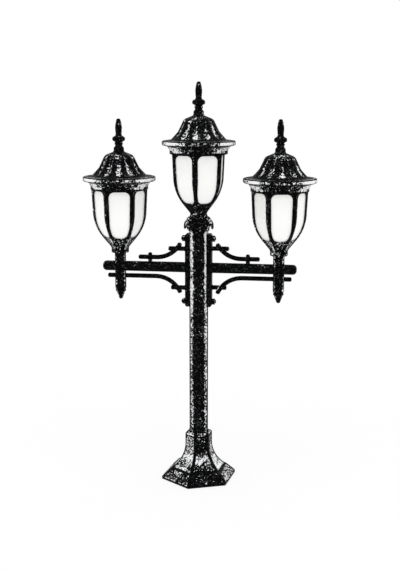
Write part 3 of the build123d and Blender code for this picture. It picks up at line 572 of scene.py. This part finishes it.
shank = [Vector((0, BOLT_FOOT_H)), Vector((BOLT_R, BOLT_FOOT_H)), Vector((BOLT_R, BOLT_THREAD_H))]
for turn in range(int((BOLT_TOP_H - BOLT_THREAD_H) / BOLT_PITCH)):
    height = BOLT_THREAD_H + BOLT_PITCH * turn
    shank += [Vector((BOLT_ROOT_R, height + BOLT_PITCH / 2)), Vector((BOLT_R, height + BOLT_PITCH))]
shank += [Vector((0, BOLT_TOP_H))]
bolts = bmesh.new()
for side, (seat, turn) in LANTERNS.items():
    stand = Matrix.Translation(seat) @ Matrix.Rotation(radians(turn), 4, "Z")
    head = nut_mesh(BOLT_HEAD_ACROSS * MM, (BOLT_FOOT_H - BOLT_HEAD_H) * MM, BOLT_HEAD_BORE * MM)
    head.transform(stand @ Matrix.Translation((0, 0, BOLT_HEAD_H * MM)))
    bolts.from_mesh(head)
    rod = lathe_mesh("bolt shank", shank, BOLT_SEGMENTS, closed=False)
    rod.transform(stand)
    bolts.from_mesh(rod)
bolt_mesh = bpy.data.meshes.new("roof bolts")
bolts.to_mesh(bolt_mesh)
bolts.free()
bolt_mesh.shade_smooth()
bolt_mesh.set_sharp_from_angle(angle=NUT_SHARP)
bolt_mesh.materials.append(zinc_plate)
set_piece("threaded_roof_bolts", bolt_mesh, "post", "zinc_steel", "roof_bolts")

# Roofs
# Each roof is one thin casting on a rubber gasket: a skirt that drops over the cage's ring, a cove,
# a rolled brim and a bell with shallow flutes that end in round scallops just above the brim.
# Sizes are millimetres, with heights above the lantern's seat; outlines hold radius, height and rounding.
finish_nodes(rubber, *(f"{side}_roof_gasket" for side in LANTERNS))
BELL_FOOT_R = 86.0
BELL_FOOT_H = 245.5
BELL_LEAN = 0.95
ROOF_OUTSIDE = [
    (90.6, 202.0, 0.0),
    (90.6, 212.0, 8.0),
    (98.0, 224.5, 8.0),
    (114.5, 228.5, 5.0),
    (114.5, 241.5, 5.0),
    (BELL_FOOT_R, BELL_FOOT_H, 3.0),
    (64.1, 269.5, 30.0),
    (46.0, 307.5, 20.0),
    (17.5, 319.0, 4.0),
    (17.5, 322.0, 0.8),
    (4.5, 322.0, 0.0),
]
ROOF_INSIDE = [
    (4.5, 313.2, 0.0),
    (36.5, 307.5, 3.0),
    (54.6, 269.5, 6.0),
    (76.5, 245.5, 4.0),
    (81.0, 210.0, 0.0),
    (88.0, 210.0, 0.0),
    (88.0, 202.0, 0.0),
]
OUTSIDE_STEP = 2.4
INSIDE_STEP = 6.0
ROOF_SEGMENTS = 288
ROOF_SHARP = radians(40)


def rounded_outline(corners, steps=5):
    """Outline points from (radius, height, corner rounding), each corner a short curve."""
    points = []
    for i, (radius, height, rounding) in enumerate(corners):
        here = Vector((radius, height))
        if rounding == 0 or i in (0, len(corners) - 1):
            points.append(here)
            continue
        before = Vector(corners[i - 1][:2]) - here
        after = Vector(corners[i + 1][:2]) - here
        reach = rounding * tan((pi - before.angle(after)) / 2)
        start = here + before.normalized() * min(reach, before.length / 2)
        end = here + after.normalized() * min(reach, after.length / 2)
        for k in range(steps + 1):
            t = k / steps
            points.append(start * (1 - t) ** 2 + here * 2 * t * (1 - t) + end * t**2)
    return points


def spaced(points, step):
    """The same outline with its long runs divided."""
    result = [points[0]]
    for a, b in zip(points, points[1:]):
        count = max(1, round((b - a).length / step))
        result += [a.lerp(b, k / count) for k in range(1, count + 1)]
    return result


# Painted highlights lie in bands round the roof, each with its own levels.
SKIRT_EDGE_H = 205.0
BRIM_FOOT_H = 228.5
BRIM_TOP_H = 241.0
BRIM_EDGE_R = 106.0
BELL_GROOVE_H = 245.0
CREST_H = 300.0
BOSS_H = 314.0
GROOVE = 2.0
FOOT_FADE = 22.0
CREST_FRONT = 0.02
CREST_FLANK = -0.08
BELL_FRONT = -0.055
BELL_FLANK = -0.19
BELL_FOOT_RISE = 0.08
BRIM_LEVEL = 0.1
BRIM_ENDS = 0.5
COVE_SIDES = 0.36


def roof_highlight(place):
    """Painted shade in grooves and on edges; most painted highlight at the brim's ends and beside the cove.
    """
    radius, height, turned = hypot(place.x, place.y) / MM, place.z / MM, beside(place, Vector())
    brim_edge = radius > BRIM_EDGE_R and abs(height - BRIM_TOP_H) < GROOVE
    in_groove = min(abs(height - BELL_GROOVE_H), abs(height - BRIM_FOOT_H)) < GROOVE
    if brim_edge or in_groove or height < SKIRT_EDGE_H:
        return PAINTED_SHADE_LEVEL
    if height > CREST_H:
        return SHADED if height > BOSS_H else round_highlight(turned, CREST_FRONT, CREST_FLANK)
    if height > BELL_GROOVE_H:
        foot = max(0.0, 1 - (height - BELL_GROOVE_H) / FOOT_FADE)
        return round_highlight(turned, BELL_FRONT, BELL_FLANK) + BELL_FOOT_RISE * foot
    if height > BRIM_FOOT_H:
        return BRIM_ENDS * turned**4 * (1 - turned**4) + BRIM_LEVEL
    return COVE_SIDES * turned**2 * (1 - turned**2)


FLUTE_COUNT = 12
FLUTE_WIDTH = 0.72
FLUTE_TOP_H = 314.0
FLUTE_SHOULDER_H = 302.0
FLUTE_FOOT_H = 259.0
FLUTE_END_H = 247.0
FLUTE_SHOULDER_DEPTH = 2.2
FLUTE_FOOT_DEPTH = 4.4
FLUTE_SHALLOW = 1.2
FLUTE_DEEP = 3.4
FLUTE_PAINTED_HIGHLIGHT = 0.16


def flute_depth(height):
    """How deep a flute is at a height, in millimetres."""
    if height > FLUTE_SHOULDER_H:
        return FLUTE_SHOULDER_DEPTH * max(0.0, (FLUTE_TOP_H - height) / (FLUTE_TOP_H - FLUTE_SHOULDER_H))
    down = min(1.0, (FLUTE_SHOULDER_H - height) / (FLUTE_SHOULDER_H - FLUTE_FOOT_H))
    return FLUTE_SHOULDER_DEPTH + (FLUTE_FOOT_DEPTH - FLUTE_SHOULDER_DEPTH) * down


# The flute tree presses a round-bottomed groove into the bell, as deep as each ring's own depth says.
# A point's turn is counted in flutes, folded to its distance from a flute's middle, and squared.
flute_tree, sockets = new_tree("roof flutes", Flutes="Float", Width="Float", Finish="Material")
spot = add_node(flute_tree, "GeometryNodeInputPosition").outputs[0]
spot = add_node(flute_tree, "ShaderNodeSeparateXYZ", Vector=spot).outputs
across = add_node(flute_tree, "ShaderNodeMath", {"operation": "ARCTAN2"}, _0=spot["Y"], _1=spot["X"])
for operation, value in (
    ("DIVIDE", 2 * pi),
    ("MULTIPLY", sockets["Flutes"]),
    ("PINGPONG", 0.5),
    ("DIVIDE", sockets["Width"]),
    ("MULTIPLY", 2.0),
    ("POWER", 2.0),
):
    across = add_node(flute_tree, "ShaderNodeMath", {"operation": operation}, _0=across.outputs[0], _1=value)
run_out = add_node(flute_tree, "GeometryNodeInputNamedAttribute", Name="run_out").outputs[0]
depth = add_node(flute_tree, "GeometryNodeInputNamedAttribute", Name="depth").outputs[0]
hollow = add_node(flute_tree, "ShaderNodeMath", {"operation": "SUBTRACT"}, _0=1.0, _1=across.outputs[0])
for operation, value in (("SUBTRACT", run_out), ("MAXIMUM", 0.0), ("MULTIPLY", depth)):
    hollow = add_node(flute_tree, "ShaderNodeMath", {"operation": operation}, _0=hollow.outputs[0], _1=value)
inward = {"Vector": add_node(flute_tree, "GeometryNodeInputNormal").outputs[0], "Scale": hollow.outputs[0]}
inward = add_node(flute_tree, "ShaderNodeVectorMath", {"operation": "SCALE"}, **inward)
pressed = add_node(flute_tree, "GeometryNodeSetPosition", Geometry=sockets["Mesh"], Offset=inward.outputs[0])
# The deepest parts of each flute get more painted highlight, as if their ends caught the light from above.
flute_end_highlight = {"From_Min": -FLUTE_SHALLOW * MM, "From_Max": -FLUTE_DEEP * MM, "To_Max": FLUTE_PAINTED_HIGHLIGHT}
flute_end_highlight = add_node(flute_tree, "ShaderNodeMapRange", Value=hollow.outputs[0], **flute_end_highlight)
level = add_node(flute_tree, "GeometryNodeInputNamedAttribute", Name="painted_highlight")
level = add_node(flute_tree, "ShaderNodeMath", _0=level.outputs[0], _1=flute_end_highlight.outputs["Result"])
painted_highlight_level = {"Geometry": pressed.outputs[0], "Name": "painted_highlight_level", "Value": level.outputs[0]}
painted_highlight_level = add_node(flute_tree, "GeometryNodeStoreNamedAttribute", **painted_highlight_level)
end_tree(flute_tree, painted_highlight_level.outputs[0])

outside = spaced(rounded_outline(ROOF_OUTSIDE), OUTSIDE_STEP)
inside = spaced(rounded_outline(ROOF_INSIDE), INSIDE_STEP)
for side, (seat, turn) in LANTERNS.items():
    blank = lathe_mesh("roof blank", outside + inside, ROOF_SEGMENTS, closed=True)
    spin = Matrix.Rotation(radians(turn), 3, "Z")
    depth = blank.attributes.new("depth", "FLOAT", "POINT")
    run_out = blank.attributes.new("run_out", "FLOAT", "POINT")
    unfluted_highlight = blank.attributes.new("painted_highlight", "FLOAT", "POINT")
    for vertex in blank.vertices:
        radius, height = hypot(vertex.co.x, vertex.co.y) / MM, vertex.co.z / MM
        outer = radius > BELL_FOOT_R - BELL_LEAN * (height - BELL_FOOT_H) and height > FLUTE_END_H
        depth.data[vertex.index].value = -flute_depth(height) * MM if outer else 0.0
        fade = (FLUTE_FOOT_H - height) / (FLUTE_FOOT_H - FLUTE_END_H)
        run_out.data[vertex.index].value = max(0.0, fade) ** 2
        unfluted_highlight.data[vertex.index].value = roof_highlight(spin @ vertex.co)
    roof = grow(flute_tree, blank, Flutes=float(FLUTE_COUNT), Width=FLUTE_WIDTH, Finish=black_paint)
    roof.transform(Matrix.Translation(seat) @ Matrix.Rotation(radians(turn), 4, "Z"))
    roof.set_sharp_from_angle(angle=ROOF_SHARP)
    set_piece(f"{side}_fluted_roof", roof, f"{side}_roof", "black_paint", f"{side}_roof")

# Finials and stems
# Turned pieces on the lanterns' axes. Each finial is also the nut of its roof bolt. A side lantern has a
# stem above the arm, a drop stem below it and a blunt drop finial at the end.
# Painted highlight levels on the finials and stems, in front and at the flanks.
FINIAL_FRONT = -0.03
FINIAL_FLANK = -0.2
STEM_FRONT = -0.06
STEM_FLANK = -0.05
for side, (seat, turn) in LANTERNS.items():
    spike = frame["nodes"][f"{side}_finial"].data
    painted_highlight(spike, lambda place: round_highlight(beside(place, seat), FINIAL_FRONT, FINIAL_FLANK))
    if side == "centre":
        continue
    for name in ("lantern_stem", "drop_stem", "drop_finial"):
        stem = frame["nodes"][f"{side}_{name}"].data
        painted_highlight(stem, lambda place: round_highlight(beside(place, seat), STEM_FRONT, STEM_FLANK))

# Studio
# A white room with a pale paper floor. The paper shows white by itself, a little less so near the post,
# where it keeps the post's shadow. Two tall soft strips stand beside the post, and a soft light hangs above.
WHITE = (1.0, 1.0, 1.0, 1.0)
FLOOR_R = 30.0
FLOOR_SIDES = 96
NEAR_TO_FAR = {"From_Min": 0.2, "From_Max": 2.5, "To_Min": 0.8, "To_Max": 1.0}
white_room = bpy.data.worlds.new("white room")
scene.world = white_room
white_room.use_nodes = True
backdrop = white_room.node_tree.nodes["Background"]
backdrop.inputs["Color"].default_value = WHITE
backdrop.inputs["Strength"].default_value = 1.0
floor_mesh = bpy.data.meshes.new("floor")
shape = bmesh.new()
bmesh.ops.create_circle(shape, cap_ends=True, segments=FLOOR_SIDES, radius=FLOOR_R)
shape.to_mesh(floor_mesh)
shape.free()
floor = bpy.data.objects.new("floor", floor_mesh)
scene.collection.objects.link(floor)
floor_paper, tree, shader, place = new_finish("white paper sweep")
shader.inputs["Base Color"].default_value = hex_colour("#f6f6f6")
shader.inputs["Roughness"].default_value = 0.9
rays = add_node(tree, "ShaderNodeLightPath").outputs
seen = rays["Is Camera Ray"]
for kind in ("Is Glossy Ray", "Is Transmission Ray"):
    seen = add_node(tree, "ShaderNodeMath", {"operation": "MAXIMUM"}, _0=seen, _1=rays[kind]).outputs["Value"]
far = add_node(tree, "ShaderNodeVectorMath", {"operation": "LENGTH"}, Vector=place)
far = add_node(tree, "ShaderNodeMapRange", Value=far.outputs["Value"], **NEAR_TO_FAR)
share = add_node(tree, "ShaderNodeMath", {"operation": "MULTIPLY"}, _0=seen, _1=far.outputs["Result"])
glow = add_node(tree, "ShaderNodeEmission")
mixed = {"_0": share.outputs["Value"], "_1": shader.outputs["BSDF"], "_2": glow.outputs[0]}
mixed = add_node(tree, "ShaderNodeMixShader", **mixed)
tree.links.new(mixed.outputs["Shader"], tree.nodes["Material Output"].inputs["Surface"])
floor_mesh.materials.append(floor_paper)

STRIP_SIZE = (0.4, 2.4)
STRIP_X = 1.7
STRIP_Y = -1.7
STRIP_Z = 0.9
STRIP_SPIN = 45
STRIP_POWER = 0.8
for name, way in (("left strip", -1), ("right strip", 1)):
    lamp = bpy.data.lights.new(name, "AREA")
    lamp.shape = "RECTANGLE"
    lamp.size, lamp.size_y = STRIP_SIZE
    lamp.energy = STRIP_POWER
    strip = bpy.data.objects.new(name, lamp)
    strip.location = (way * STRIP_X, STRIP_Y, STRIP_Z)
    strip.rotation_euler = (radians(90), 0, radians(way * STRIP_SPIN))
    scene.collection.objects.link(strip)
TOP_SIZE = 1.2
TOP_POWER = 7.0
TOP_PLACE = (0, -0.6, 2.6)
TOP_TILT = 15
lamp = bpy.data.lights.new("top light", "AREA")
lamp.size = TOP_SIZE
lamp.energy = TOP_POWER
top_light = bpy.data.objects.new("top light", lamp)
top_light.location = TOP_PLACE
top_light.rotation_euler = (radians(TOP_TILT), 0, 0)
scene.collection.objects.link(top_light)

# Camera
# It stands a little to the right of the post, at about the height of the lanterns' tops,
# and looks slightly down, as the photograph does.
LENS = 63.66
CAMERA_PLACE = (0.450, -3.114, 1.246)
CAMERA_DOWN = 10.92
CAMERA_TURN = 8.15
lens = bpy.data.cameras.new("camera")
lens.lens = LENS
camera = bpy.data.objects.new("camera", lens)
camera.location = CAMERA_PLACE
camera.rotation_euler = (radians(90 - CAMERA_DOWN), 0, radians(CAMERA_TURN))
scene.collection.objects.link(camera)
scene.camera = camera
scene.view_settings.view_transform = "Standard"
